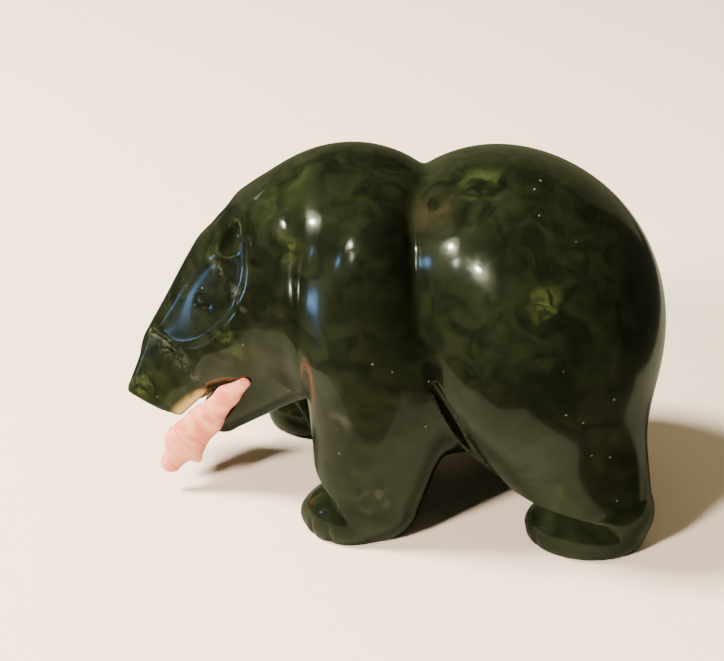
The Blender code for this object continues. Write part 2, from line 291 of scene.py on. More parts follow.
def muzzle_skin(point, side):
    """The blunt muzzle, a little prouder than the face behind it."""
    muzzle = shared(slab(point, *MUZZLE, MUZZLE_LEAN), side - MUZZLE_PROUD, SIDE_ROUNDING)
    muzzle = shared(muzzle, beside(point, MUZZLE_EDGE) - MUZZLE_REACH, STEP_ROUNDING)
    muzzle = shared(muzzle, cut(point, *LIP), LIP_ROUNDING)
    return shared(muzzle, cut(point, *MUZZLE_END), END_ROUNDING)


# %% [markdown]
# ## The fish
#
# The fish is a flat tapered sliver: a line of round stretches down its spine, each thinner
# across than it is deep, and two lobes for the tail. It comes before the bear's whole skin,
# because the mouth is cut to give it room.

# %% Fish
FISH_SPINE = (
    ((-17.7, -6.4, 17.2), 0.7),
    ((-19.9, -6.1, 15.0), 1.2),
    ((-23.1, -4.9, 10.4), 1.9),
    ((-25.8, -4.8, 7.0), 2.4),
)
FISH_TAIL = (((-27.8, -5.6, 3.9), 1.3), ((-24.4, -5.2, 4.6), 0.5))
FISH_FLATNESS = 0.45
FISH_BLEND = 0.8
TAIL_ROOT = 0.8
FISH_ROOM = 0.04
ROOM_EDGE = 0.12


def fish_skin(point):
    """The fish: its body along the spine, then both lobes of the tail."""
    body = None
    for (start, start_half), (end, end_half) in zip(FISH_SPINE, FISH_SPINE[1:]):
        stretch = limb(point, start, end, start_half, end_half, FISH_FLATNESS)
        body = stretch if body is None else joined(body, stretch, FISH_BLEND)
    root, root_half = FISH_SPINE[-1]
    for tip, tip_half in FISH_TAIL:
        lobe = limb(point, root, tip, root_half * TAIL_ROOT, tip_half, FISH_FLATNESS)
        body = joined(body, lobe, FISH_BLEND)
    return body


# %% [markdown]
# ## The whole bear
#
# Two big masses make this bear: the shoulders with their hump, and the rump. Each is blended
# softly in itself, and the two meet in a tight fold at the waist. A wedge is cut between the
# legs of each side, and the belly is ground hollow. Head, ears, eyes and the mouth follow, in the
# order in which a carver takes them.

# %% Trunk and whole skin
HUMP = ((-5.0, 0.0, 30.6), (13.2, 8.9, 14.3))
MANE = ((-10.5, 0.0, 28.3), (10.3, 8.2, 11.5))
SHOULDER = ((-3.1, 7.4, 24.5), (7.0, 6.6, 16.1))
BELLY = ((5.4, 0.0, 17.7), (11.9, 11.1, 11.5))
LOIN = ((10.4, 0.0, 30.5), (14.2, 12.8, 14.1))
RUMP = ((16.2, 0.0, 23.2), (14.6, 16.4, 17.5))
NECK = ((-13.0, 0.0, 26.5), (7.5, 7.7, 13.4))
UNDERSIDE = ((-6.0, 0.0, 0.0), (40.0, 0.0, 0.0), 8.6, 8.6)
UNDERSIDE_FLATNESS = 0.6
UNDERSIDE_EDGE = 2.0
TRUNK_BLEND = 8.0
SHOULDER_BLEND = 5.0
BELLY_BLEND = 3.0
WAIST_BLEND = 1.2
NECK_BLEND = 3.0
FRONT_LEG_BLEND = 3.0
HIND_LEG_BLEND = 4.0
WEDGE = ((4.6, 12.9, 22.6), (10.6, 10.4, 10.0), 0.5, 1.3)
WEDGE_STEP = 0.7
NECK_LINE = ((-10.9, 34.0), (-10.6, 25.0), (-10.6, 16.0))
NECK_BURR = (0.1, 1.2)
CAP_TOP = ((-15.3, 0.0, 39.7), (-0.25, 0.0, 0.97))
CAP_BACK = ((-10.8, 0.0, 33.0), (1.0, 0.0, 0.0))
CAP_CORNER = 6.0
CAP_LIFT = 0.3
CAP_EDGE = 1.6
BOWL = ((-22.5, 0.0, 29.5), (4.6, 4.6, 9.5))
BOWL_LEAN = 29.0
BOWL_EDGE = 0.8
EAR_LINE = (
    (-20.5, 33.6), (-20.8, 35.2), (-20.1, 36.9), (-18.9, 37.7), (-17.8, 37.4), (-17.0, 36.2),
    (-16.5, 34.6), (-16.2, 32.8), (-16.4, 30.8), (-17.2, 29.2),
)
EAR_RIM = (-0.28, 1.0)
EAR_CUP = ((-18.8, 5.1, 35.5), (1.5, 1.5, 2.1))
EAR_LEAN = 15.0
EAR_EDGE = 0.6
EYE = (-22.2, 27.0)
EYE_RING = 0.75
EYE_BURR = (0.12, 0.22)


def bear_skin(point):
    """The whole bear. The mirrored points make the left side, the plain ones the right."""
    mirrored = point * (1.0, -1.0, 1.0)
    folded = np.maximum(point, mirrored)
    front = joined(egg(point, *HUMP), egg(point, *MANE), TRUNK_BLEND)
    front = joined(front, egg(folded, *SHOULDER), SHOULDER_BLEND)
    front = joined(front, egg(point, *BELLY), BELLY_BLEND)
    back = joined(egg(point, *RUMP), egg(point, *LOIN), TRUNK_BLEND)
    wedges = []
    for side, front_step, hind_step in ((mirrored, 0.0, 0.0), (point, FRONT_STEP, HIND_STEP)):
        leg = leg_skin(
            side, FRONT_LEG, FRONT_LEG_FLATNESS, FRONT_CUFF, FRONT_PAW, FRONT_TOES, front_step
        )
        front = joined(front, leg, FRONT_LEG_BLEND)
        leg = leg_skin(
            side, HIND_LEG, HIND_LEG_FLATNESS, HIND_CUFF, HIND_PAW, HIND_TOES, hind_step
        )
        back = joined(back, leg, HIND_LEG_BLEND)
        top, foot, top_radius, foot_radius = WEDGE
        foot = moved(foot, hind_step * WEDGE_STEP)
        wedges.append(limb(side, top, foot, top_radius, foot_radius))
    skin = joined(front, back, WAIST_BLEND)
    skin = carved(skin, np.minimum(*wedges), CUT_EDGE)
    skin = carved(skin, limb(point, *UNDERSIDE, UNDERSIDE_FLATNESS), UNDERSIDE_EDGE)
    skin = joined(skin, egg(point, *NECK), NECK_BLEND)
    cap = shared(cut(point, *CAP_TOP), cut(point, *CAP_BACK), CAP_CORNER)
    skin = raised(skin, CAP_LIFT, cap, CAP_EDGE)
    side = cut(folded, *FACE_SIDE)
    skin = joined(skin, face_skin(point, side), HEAD_BLEND)
    skin = scored(skin, track(point, NECK_LINE), *NECK_BURR)
    bowl = egg(from_side(point), *BOWL, BOWL_LEAN)
    skin = carved(skin, shared(bowl, -side, BOWL_EDGE), BOWL_EDGE)
    skin = joined(skin, muzzle_skin(point, side), STEP_ROUNDING)
    skin = scored(skin, track(point, EAR_LINE), *EAR_RIM)
    skin = carved(skin, egg(folded, *EAR_CUP, EAR_LEAN), EAR_EDGE)
    skin = scored(skin, np.abs(beside(point, EYE) - EYE_RING), *EYE_BURR)
    skin = carved(skin, fish_skin(point) - FISH_ROOM, ROOM_EDGE)
    return np.maximum(skin, -point[:, 2])


# %% [markdown]
# ## Reading the field on a lattice
#
# A mesh of the zero level comes from a lattice of points. Near the skin it has to be fine, for
# the groove around the eye is less than half a millimetre wide. A lattice as fine as that through
# the whole stone would be mostly wasted, so the field is first read on a coarse lattice, and read
# finely only in the blocks near the skin.

# %% Lattice
COARSE = 4
NEAR_BLOCKS = 1.5
BATCH = 400000


def lattice_values(skin, low, step, counts):
    """Field values on a lattice, exact near the skin and only of the right sign elsewhere."""
    blocks = [-(-n // COARSE) + 1 for n in counts]
    places = np.indices(blocks).reshape(3, -1).T
    values = skin(low + places * (step * COARSE)).reshape(blocks)
    near = np.abs(values) < step * COARSE * NEAR_BLOCKS
    for axis in range(3):
        near = near | np.roll(near, -1, axis) | np.roll(near, 1, axis)
    for axis in range(3):
        values = np.repeat(values, COARSE, axis)
        near = np.repeat(near, COARSE, axis)
    chosen = np.argwhere(near)
    for start in range(0, len(chosen), BATCH):
        part = chosen[start:start + BATCH]
        values[tuple(part.T)] = skin(low + (part - COARSE // 2) * step)
    return values


# %% [markdown]
# ## From field to mesh
#
# Where the field changes sign along a lattice edge, the skin crosses it. Each lattice cell that
# the skin passes through gets one point, at the mean of its crossings, and each crossed edge gets
# one face, between the four cells around it. That is the *surface nets* method. Marching cubes
# would do too, but it leaves slivers, and this gives even four-sided faces.

# %% Surface nets
def crossed_edges(values, axis):
    """The lattice edges along an axis that the skin crosses: place, share and direction."""
    near = [slice(None)] * 3
    far = [slice(None)] * 3
    near[axis], far[axis] = slice(None, -1), slice(1, None)
    inside = values < 0.0
    crossed = np.argwhere(inside[tuple(near)] != inside[tuple(far)])
    ahead = np.zeros(3, int)
    ahead[axis] = 1
    here = values[tuple(crossed.T)]
    there = values[tuple((crossed + ahead).T)]
    return crossed, here / (here - there), here < 0.0


def cells_around(crossed, one, two, back_one, back_two):
    """The cells on one side of crossed edges, stepped back or not along the other two axes."""
    cell = crossed.copy()
    cell[:, one] -= back_one
    cell[:, two] -= back_two
    return cell


def surface_net(skin, low, high, step):
    """Points and four-sided faces of the zero level."""
    low = np.array(low, float)
    counts = [int(math.ceil((h - l) / step)) + 1 for l, h in zip(low, high)]
    values = lattice_values(skin, low, step, counts)
    low = low - (COARSE // 2) * step
    cells = [n - 1 for n in values.shape]
    total, hits = np.zeros(cells + [3]), np.zeros(cells)
    edges = [crossed_edges(values, axis) for axis in range(3)]
    for axis, (crossed, share, _) in enumerate(edges):
        spot = crossed.astype(float)
        spot[:, axis] += share
        one, two = [other for other in range(3) if other != axis]
        for back_one, back_two in ((0, 0), (0, 1), (1, 0), (1, 1)):
            cell = cells_around(crossed, one, two, back_one, back_two)
            good = (cell >= 0).all(1) & (cell < cells).all(1)
            index = tuple(cell[good].T)
            np.add.at(total, index, spot[good])
            np.add.at(hits, index, 1.0)
    active = hits > 0
    number = np.full(hits.shape, -1)
    number[active] = np.arange(active.sum())
    points = low + total[active] / hits[active][:, None] * step
    faces = []
    for axis, (crossed, _, leaving) in enumerate(edges):
        one, two = (axis + 1) % 3, (axis + 2) % 3
        ring = np.column_stack([
            number[tuple(cells_around(crossed, one, two, *back).T)]
            for back in ((0, 0), (1, 0), (1, 1), (0, 1))
        ])
        ring[~leaving] = ring[~leaving][:, ::-1]
        faces.append(ring)
    return points, np.concatenate(faces)


# %% [markdown]
# ## Polishing the mesh
#
# The points of a surface net sit close to the zero level, not on it. A few Newton steps along
# the field's slope bring them there, and the same slope gives each point the true direction of
# the skin. Those directions are kept as the mesh's normals, so that reflections run over the
# stone without a ripple.

# %% Polish
PROBE = 0.02
LEAST_SLOPE = 0.2


def slope(skin, points):
    """Field values and their rates of change at points."""
    ends = np.array(((1, -1, -1), (-1, -1, 1), (-1, 1, -1), (1, 1, 1)), float)
    total = np.zeros_like(points)
    mean = np.zeros(len(points))
    for end in ends:
        value = skin(points + end * PROBE)
        total += value[:, None] * end
        mean += value
    return mean / 4.0, total / (4.0 * PROBE)


def polished(skin, points, furthest, rounds=3):
    """Points brought to the skin, none moved further than a given distance."""
    start = points
    for _ in range(rounds):
        value, rise = slope(skin, points)
        points = points - (value / np.maximum((rise ** 2).sum(1), LEAST_SLOPE))[:, None] * rise
        gap = points - start
        far = np.maximum(length(gap) / furthest, 1.0)
        points = start + gap / far[:, None]
    return points


# %% [markdown]
# ## Thinning and final normals
#
# The net has the same density everywhere, and most of the stone is smooth. Blender's Decimate
# modifier takes faces away where they matter least. It is applied at once, and the points are
# polished once more, because thinning moves them a little. The soles are ground flat, so their
# normals point straight down.

# %% Stone as a mesh object
def thinned(made, ratio):
    """The object's mesh with a share of its faces, by the Decimate modifier."""
    modifier = made.modifiers.new("Facets", "DECIMATE")
    modifier.ratio = ratio
    reading = bpy.context.evaluated_depsgraph_get()
    kept = bpy.data.meshes.new_from_object(made.evaluated_get(reading))
    made.modifiers.clear()
    full, made.data = made.data, kept
    kept.name = made.name
    bpy.data.meshes.remove(full)
    return kept


def stone_mesh(name, skin, block, step, facets):
    """A smooth mesh object of one stone, in metres."""
    points, faces = surface_net(skin, *block, step)
    points = polished(skin, points, step)
    mesh = bpy.data.meshes.new(name)
    mesh.from_pydata(points, [], faces)
    mesh.update()
    made = bpy.data.objects.new(name, mesh)
    bpy.context.scene.collection.objects.link(made)
    count = 2 * len(faces)
    if count > facets:
        mesh = thinned(made, facets / count)
    spots = np.empty(len(mesh.vertices) * 3)
    mesh.vertices.foreach_get("co", spots)
    spots = polished(skin, spots.reshape(-1, 3), step / 2.0, rounds=2)
    rise = slope(skin, spots)[1]
    rise[spots[:, 2] < PROBE] = (0.0, 0.0, -1.0)
    rise /= np.maximum(length(rise), 1e-9)[:, None]
    mesh.vertices.foreach_set("co", placed(spots).ravel())
    mesh.shade_smooth()
    mesh.normals_split_custom_set_from_vertices(rise)
    mesh.update()
    print(name, "has", len(mesh.vertices), "points and", len(mesh.polygons), "faces")
    print("before thinning it had", count, "triangles")
    return made


# %% [markdown]
# ## Bear and fish
#
# Both stones are made in blocks that just hold them. The fish is small, so its lattice is finer.
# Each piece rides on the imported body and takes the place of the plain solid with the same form.

# %% Make both stones
BEAR_STEP = 0.3
BEAR_BLOCK = ((-35.0, -19.0, -1.0), (33.0, 19.0, 47.0))
BEAR_FACETS = 190000
FISH_STEP = 0.12
FISH_BLOCK = ((-31.0, -10.0, 1.0), (-14.0, -2.0, 21.0))
FISH_FACETS = 60000

bear = stone_mesh("bear_carving", bear_skin, BEAR_BLOCK, BEAR_STEP, BEAR_FACETS)
fish = stone_mesh("fish_carving", fish_skin, FISH_BLOCK, FISH_STEP, FISH_FACETS)
for piece, node, slot in ((bear, "bear", "jade"), (fish, "fish", "pink_stone")):
    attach(piece, "root")
    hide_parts(node)

# %% [markdown]
# ## Shader maths in Python
#
# A stone's colour is a sum of many patterns. Wired by hand that is a wall of nodes, so one
# small class wraps a socket and lets Python's own operators add the Math nodes.

# %% A socket that does arithmetic
class Value:
    """A socket of a material's node tree; arithmetic on it adds nodes."""

    def __init__(self, tree, socket):
        self.tree = tree
        self.socket = socket

    def node(self, kind, settings=None, sockets=None, out=0):
        """Another node in the same tree, by its type, its settings and its sockets' values."""
        made = self.tree.nodes.new(kind)
        for name, setting in (settings or {}).items():
            setattr(made, name, setting)
        for place, value in (sockets or {}).items():
            if isinstance(value, Value):
                self.tree.links.new(value.socket, made.inputs[place])
            else:
                made.inputs[place].default_value = value
        return Value(self.tree, made.outputs[out])

    def math(self, operation, *others):
        sockets = dict(enumerate((self,) + others))
        return self.node("ShaderNodeMath", {"operation": operation}, sockets)

    def vector(self, operation, *others, out=0):
        sockets = dict(enumerate((self,) + others))
        return self.node("ShaderNodeVectorMath", {"operation": operation}, sockets, out)

    def __add__(self, other):
        return self.math("ADD", other)

    __radd__ = __add__

    def __sub__(self, other):
        return self.math("SUBTRACT", other)

    def __rsub__(self, other):
        return (self * -1.0) + other

    def __mul__(self, other):
        return self.math("MULTIPLY", other)

    __rmul__ = __mul__

    def rise(self, low, high):
        """0 below the low value, 1 above the high one, and a soft step between."""
        sockets = {"Value": self, "From Min": low, "From Max": high}
        return self.node("ShaderNodeMapRange", {"interpolation_type": "SMOOTHSTEP"}, sockets)

    def mixed(self, one, other):
        """One colour going over to another as this value goes from 0 to 1."""
        return self.node("ShaderNodeMix", {"data_type": "RGBA"}, {0: self, 6: one, 7: other}, out=2)


# %% [markdown]
# ## Patterns inside a stone
#
# Nephrite is a felt of fibres, cloudy and never striped. Its patterns are solid: they go through
# the stone, and the carving only cuts into them. So they are read at object coordinates, here in
# millimetres, and not on an unwrapped skin. Noise gives clouds, a noise seen through a narrow
# window gives hairlines, and the distance to a place gives one patch where the photograph has it.

# %% Clouds, hairlines and patches
def millimetres(tree):
    """The place in the object, in millimetres."""
    place = tree.nodes.new("ShaderNodeTexCoord").outputs["Object"]
    return Value(tree, place).vector("MULTIPLY", (1000.0, 1000.0, 1000.0))


def clouds(place, size, detail=4.0, distortion=0.0, shift=0.0):
    """Noise with lumps of about a size in millimetres."""
    if shift:
        place = place.vector("ADD", (shift, shift, shift))
    sockets = {"Vector": place, "Scale": 1.0 / size, "Detail": detail, "Distortion": distortion}
    return place.node("ShaderNodeTexNoise", None, sockets)


def hairlines(place, turn, long, fine, width):
    """Thin nearly straight lines, long one way and fine across."""
    sockets = {"Vector": place, "Rotation": turn}
    turned = place.node("ShaderNodeVectorRotate", {"rotation_type": "EULER_XYZ"}, sockets)
    drawn = turned.vector("MULTIPLY", (1.0 / long, 1.0 / fine, 1.0 / fine))
    band = drawn.node("ShaderNodeTexNoise", None, {"Vector": drawn, "Scale": 1.0, "Detail": 1.0})
    return 1.0 - (band - 0.5).math("ABSOLUTE").rise(0.0, width)


def patches(place, spots):
    """1 in the middle of each (centre, radius) patch, fading to 0 at its edge."""
    total = None
    for centre, radius in spots:
        near = 1.0 - place.vector("DISTANCE", centre, out=1).rise(0.0, radius)
        total = near if total is None else total.math("MAXIMUM", near)
    return total


# %% [markdown]
# ## Where the polish wears
#
# Edges lose their polish first and turn pale, and dust stays in the folds. How sharply the skin
# bends can be read from the field: on a convex edge the field around a point is on average
# higher than at the point, in a fold it is lower. The bend goes into the bear's mesh as an
# attribute that the shader can read. The fish is soft satin stone and shows no such wear.

# %% Bend of the skin
BEND_REACH = 0.45


def store_bend(piece, skin):
    """Each point's sum of the two curvatures, per drawing unit, as the attribute bend."""
    spots = np.empty(len(piece.data.vertices) * 3)
    piece.data.vertices.foreach_get("co", spots)
    spots = spots.reshape(-1, 3) / SCALE + (MIDDLE_X, 0.0, 0.0)
    around = np.zeros(len(spots))
    for axis in np.vstack((np.eye(3), -np.eye(3))):
        around += skin(spots + axis * BEND_REACH)
    bend = (around / 6.0 - skin(spots)) * 6.0 / BEND_REACH ** 2
    bend[spots[:, 2] < BEND_REACH] = 0.0
    layer = piece.data.attributes.new("bend", "FLOAT", "POINT")
    layer.data.foreach_set("value", bend)
    print(piece.name, "bend from", round(bend.min(), 2), "to", round(bend.max(), 2))


store_bend(bear, bear_skin)

# %% [markdown]
# ## Nephrite
#
# The colour of the stone goes from black-green through olive to mossy yellow-green spots, with a
# few brown and grey ones. The spots lie where the photograph shows them, and noise gives them
# their broken edges. All of it is kept very dark, because polished nephrite gives little light
# back and most of what the eye sees on it is reflection.

# %% Colours of the jade
DARK_JADE = (0.002, 0.003, 0.0015, 1.0)
GREEN_JADE = (0.0075, 0.011, 0.0044, 1.0)
MOSS_JADE = (0.03, 0.044, 0.013, 1.0)
BROWN_JADE = (0.018, 0.017, 0.008, 1.0)
GREY_JADE = (0.03, 0.036, 0.02, 1.0)
MOSS_SPOTS = (
    ((10.2, -5.2, 44.0), 3.4), ((17.1, -14.0, 34.6), 3.0), ((-11.0, -8.4, 36.8), 2.6),
    ((-20.2, -4.7, 32.7), 2.4), ((-17.6, -7.2, 23.4), 3.2), ((-30.6, -3.5, 14.8), 4.6),
)
BROWN_SPOTS = (((4.9, -6.8, 41.2), 4.0), ((-9.6, -6.3, 16.7), 3.6), ((-18.6, -6.8, 20.1), 3.0))
GREY_SPOTS = (((-0.4, -14.8, 7.5), 3.2), ((-4.6, -14.0, 18.0), 2.2), ((14.0, -10.0, 26.0), 4.0))
STRAY_MOSS = 0.25
GREY_SHARE = 0.8
FIBRE_SHARE = 0.35


def jade_clouds(place, small, fibre):
    """The body colour: dark and green clouds, then moss, brown and grey spots, then fibres."""
    wide = clouds(place, 14.0, distortion=0.6)
    colour = (wide * 0.45 + small * 0.55).rise(0.4, 0.62).mixed(DARK_JADE, GREEN_JADE)
    broken = clouds(place, 1.8, detail=6.0, distortion=1.2, shift=47.0).rise(0.36, 0.6)
    moss = patches(place, MOSS_SPOTS) * small.rise(0.34, 0.62) * broken
    stray = (wide * small).rise(0.34, 0.46) * STRAY_MOSS
    colour = moss.math("MAXIMUM", stray).mixed(colour, MOSS_JADE)
    brown = patches(place, BROWN_SPOTS) * clouds(place, 2.4, shift=83.0).rise(0.4, 0.62)
    colour = brown.mixed(colour, BROWN_JADE)
    grey = patches(place, GREY_SPOTS) * clouds(place, 1.6, shift=11.0).rise(0.45, 0.62)
    colour = (grey * GREY_SHARE).mixed(colour, GREY_JADE)
    return (fibre.rise(0.3, 0.75) * FIBRE_SHARE).mixed(colour, GREEN_JADE)


# %% [markdown]
# ## Painted glow on the thin lip
#
# Where the upper lip is ground thin, light comes through it and the jade turns honey-coloured.
# Real scattering could do this, but it would slow the render for the whole stone, so that light
# is painted into the colour instead, as a painted glow. A mask says where: how far a point lies
# behind the plane of the lip, near the middle of the lip. The place is folded over y = 0 first,
# so that both sides of the mouth have it.

# %% Painted lip glow
# Painted glow: the honey colour of light coming through the thin lip.
PAINTED_LIP_GLOW = (0.36, 0.25, 0.09, 1.0)
LIP_MIDDLE = (-23.8, 5.0, 12.8)
LIP_LENGTH = 4.2
LIP_DEPTH = (-1.9, -0.5)


def painted_lip_glow_mask(place):
    """1 where the glow of light through the thin lip is painted, 0 a little way into the stone."""
    across = place.vector("ABSOLUTE").vector("MULTIPLY", (0.0, 1.0, 0.0))
    folded = across.vector("ADD", place.vector("MULTIPLY", (1.0, 0.0, 1.0)))
    lip_spot, lip_out = LIP
    behind = folded.vector("SUBTRACT", tuple(placed(lip_spot) / MM))
    depth = behind.vector("DOT_PRODUCT", lip_out, out=1)
    return depth.rise(*LIP_DEPTH) * patches(folded, ((LIP_MIDDLE, LIP_LENGTH),)).rise(0.0, 0.5)


# %% [markdown]
# ## Marks of age
#
# The carving has been handled. The edge behind the muzzle and the lower rim of the ear are rubbed
# pale, the folds hold a little dust, hairline scratches cross the polish, and there are a few
# pale specks. Each mark is a mask from 0 to 1, made of a place where it may be and noise that
# breaks it up.

# %% Scratches, specks and rubbed places
SCUFFED_JADE = (0.06, 0.07, 0.045, 1.0)
PALE_SPECK = (0.16, 0.17, 0.1, 1.0)
SCRATCH_SHARE = 0.03
RUBBED_SHARE = 0.4
WORN_SHARE = 0.7
DUST_SHARE = 0.3
SPECK_SHARE = 0.8
RUBBED_SPOTS = (
    ((-28.4, -3.2, 21.5), 1.5), ((-26.5, -4.5, 20.6), 1.8), ((-24.7, -5.1, 19.1), 2.0),
    ((-22.8, -5.5, 17.2), 2.0), ((-22.0, -4.2, 14.7), 1.5), ((-19.2, -5.6, 32.1), 1.6),
    ((-17.5, -6.8, 30.0), 1.5),
)


def scratch_mask(place):
    """Two crossing sets of hairlines, only where noise lets them be."""
    one = hairlines(place, (0.1, 0.5, 0.1), 12.0, 0.5, 0.012)
    other = hairlines(place, (-0.1, 2.1, 0.1), 9.0, 0.4, 0.012)
    return one.math("MAXIMUM", other) * clouds(place, 4.0, detail=2.0, shift=19.0).rise(0.5, 0.62)


def speck_mask(place):
    """Rare round specks, one in some of a Voronoi pattern's cells."""
    sockets = {"Vector": place, "Scale": 0.42, "Randomness": 1.0}
    cells = place.node("ShaderNodeTexVoronoi", None, sockets)
    return (1.0 - cells.rise(0.03, 0.07)) * clouds(place, 5.0, shift=71.0).rise(0.5, 0.56)


def scuff_mask(place, scratches):
    """All that is rubbed, worn or dusty, with the scratches."""
    bend = place.node("ShaderNodeAttribute", {"attribute_name": "bend"}, out=2)
    worn = bend.rise(0.9, 2.6) * clouds(place, 0.9, detail=5.0, shift=43.0).rise(0.35, 0.62)
    dust = (bend * -1.0).rise(0.9, 3.0)
    dust = dust * clouds(place, 1.1, detail=5.0, shift=5.0).rise(0.4, 0.65)
    grain = clouds(place, 0.7, detail=6.0, distortion=1.5, shift=29.0).rise(0.42, 0.6)
    rubbed = patches(place, RUBBED_SPOTS) * grain
    marks = scratches * SCRATCH_SHARE + rubbed * RUBBED_SHARE
    marks = marks + worn * WORN_SHARE + dust * DUST_SHARE
    return marks.math("MINIMUM", 1.0)


# %% [markdown]
# ## The polished surface
#
# Two reflections lie over each other. The stone's own gloss is a little wide and olive, which
# draws the haze of fine scratches around each highlight. A clear coat above it gives the crisp
# reflection of the last polish, and scuffed places lose some of that coat. The bump is slight: a
# wheel leaves broad soft waves, and the fibres of the stone stand out a few thousandths of a
# millimetre.

# %% Jade material
WAVE_HEIGHT = 0.02
FIBRE_HEIGHT = 0.003
SCRATCH_DEPTH = 0.0003
SPECK_DEPTH = 0.03


def new_material(name):
    """A material with nodes, its tree and its Principled shader."""
    material = bpy.data.materials.new(name)
    material.use_nodes = True
    tree = material.node_tree
    return material, tree, tree.nodes["Principled BSDF"]


def set_sockets(tree, surface, sockets):
    """Values and links for the sockets of a shader, by name."""
    for name, value in sockets.items():
        if isinstance(value, Value):
            tree.links.new(value.socket, surface.inputs[name])
        else:
            surface.inputs[name].default_value = value


def bump_of(height):
    """A Bump node for a height in millimetres."""
    return height.node("ShaderNodeBump", None, {"Height": height, "Distance": MM, "Strength": 1.0})


def jade_material():
    material, tree, surface = new_material("polished_nephrite")
    place = millimetres(tree)
    small = clouds(place, 3.2, detail=6.0, distortion=1.2, shift=31.0)
    fibre = clouds(place, 0.8, detail=6.0, distortion=2.0, shift=57.0)
    scratches, specks = scratch_mask(place), speck_mask(place)
    marks = scuff_mask(place, scratches)
    colour = jade_clouds(place, small, fibre)
    # Painted glow of light through the thin lip, mixed into the colour.
    colour = (painted_lip_glow_mask(place) * small.rise(0.2, 0.5)).mixed(colour, PAINTED_LIP_GLOW)
    colour = marks.mixed(colour, SCUFFED_JADE)
    colour = (specks * SPECK_SHARE).mixed(colour, PALE_SPECK)
    height = clouds(place, 2.5, detail=2.0, shift=23.0) * WAVE_HEIGHT + fibre * FIBRE_HEIGHT
    height = height - scratches * SCRATCH_DEPTH - specks * SPECK_DEPTH
    set_sockets(tree, surface, {
        "Base Color": colour,
        "Roughness": 0.2 + marks * 0.3,
        "IOR": 1.42,
        "Specular Tint": (0.95, 0.97, 0.7, 1.0),
        "Normal": bump_of(height),
        "Coat Weight": 0.5 - marks * 0.4,
        "Coat Roughness": 0.07,
        "Coat IOR": 1.45,
    })
    return material


# %% [markdown]
# ## Pink stone
#
# The fish is a softer stone, perhaps rhodonite or pink marble: satin, milky and a little
# translucent. Veins along its length are paler, the flats between them are salmon. Subsurface
# scattering lets light bleed through the thin tail. It is slow to render, but the fish is small.

# %% Pink material
SALMON = (0.62, 0.17, 0.1, 1.0)
MILKY_PINK = (0.74, 0.33, 0.22, 1.0)
ROSE = (0.6, 0.15, 0.11, 1.0)
ROSE_SHARE = 0.5
FISH_DIVE = math.radians(37.0)
VEIN_SQUEEZE = 0.3
VEIN_HEIGHT = 0.06
GRAIN_HEIGHT = 0.01


def pink_material():
    material, tree, surface = new_material("pink_stone")
    place = millimetres(tree)
    sockets = {"Vector": place, "Angle": FISH_DIVE}
    along = place.node("ShaderNodeVectorRotate", {"rotation_type": "Y_AXIS"}, sockets)
    along = along.vector("MULTIPLY", (1.0, 1.0, VEIN_SQUEEZE))
    veins = clouds(along, 1.3, detail=5.0, distortion=0.8)
    colour = veins.rise(0.36, 0.62).mixed(SALMON, MILKY_PINK)
    colour = (clouds(place, 2.2, shift=13.0).rise(0.54, 0.7) * ROSE_SHARE).mixed(colour, ROSE)
    height = clouds(along, 0.9, detail=3.0, shift=3.0) * VEIN_HEIGHT
    height = height + clouds(place, 0.25, detail=3.0) * GRAIN_HEIGHT
    set_sockets(tree, surface, {
        "Base Color": colour,
        "Roughness": 0.3 + veins * 0.2,
        "IOR": 1.5,
        "Normal": bump_of(height),
        "Subsurface Weight": 0.5,
        "Subsurface Radius": (1.0, 0.45, 0.35),
        "Subsurface Scale": 0.8 * MM,
    })
    return material


for piece, material in ((bear, jade_material()), (fish, pink_material())):
    piece.data.materials.clear()
    piece.data.materials.append(material)
    print(piece.name, "wears", material.name, "with", len(material.node_tree.nodes), "nodes")

# %% [markdown]
# ## The table
#
# The table is plain and pale. Polished stone shows its surroundings, so they matter as much as
# the stone. On the real carving the table's reflection is dim and ends halfway up the body,
# because the table is small. A wide bright floor would be mirrored all over the stone, so the
# floor is kept out of reflections. A smaller sheet lies on it, seen only in them, and its dark
# paint is painted shade, which makes the table's reflection dim.

# %% Floor
FLOOR_END = 3.0
PALE_TABLE = (0.82, 0.75, 0.64, 1.0)
# The mirrored sheet's dark colour is painted shade: it keeps the table dim in reflections.
PAINTED_SHADE_TABLE = (0.15, 0.17, 0.13, 1.0)
TABLE_ROUGHNESS = 0.7
SHEET_HEIGHT = 0.02 * MM
TABLE_EDGE = (
    (-45.0, -20.0), (-32.0, -32.0), (2.0, -35.0), (12.0, -43.0), (32.0, -22.0), (80.0, -8.0),
    (80.0, 140.0), (-45.0, 140.0),
)


def table_face(name, corners, colour, height=0.0):
    """One flat face of the table, painted in one colour."""
    mesh = bpy.data.meshes.new(name)
    mesh.from_pydata([(x, y, height) for x, y in corners], [], [tuple(range(len(corners)))])
    paint, _, surface = new_material(name)
    surface.inputs["Base Color"].default_value = colour
    surface.inputs["Roughness"].default_value = TABLE_ROUGHNESS
    mesh.materials.append(paint)
    made = bpy.data.objects.new(name, mesh)
    bpy.context.scene.collection.objects.link(made)
    return made


end = FLOOR_END
floor = table_face("floor", [(-end, -end), (end, -end), (end, end), (-end, end)], PALE_TABLE)
floor.visible_glossy = False
edge = [(x * MM, y * MM) for x, y in TABLE_EDGE]
# The sheet is painted dark, as painted shade, and is seen only in reflections.
sheet = table_face("mirrored_table", edge, PAINTED_SHADE_TABLE, SHEET_HEIGHT)
sheet.visible_camera = False
sheet.visible_diffuse = False
sheet.visible_shadow = False
print("the floor and a mirrored table with", len(edge), "corners")

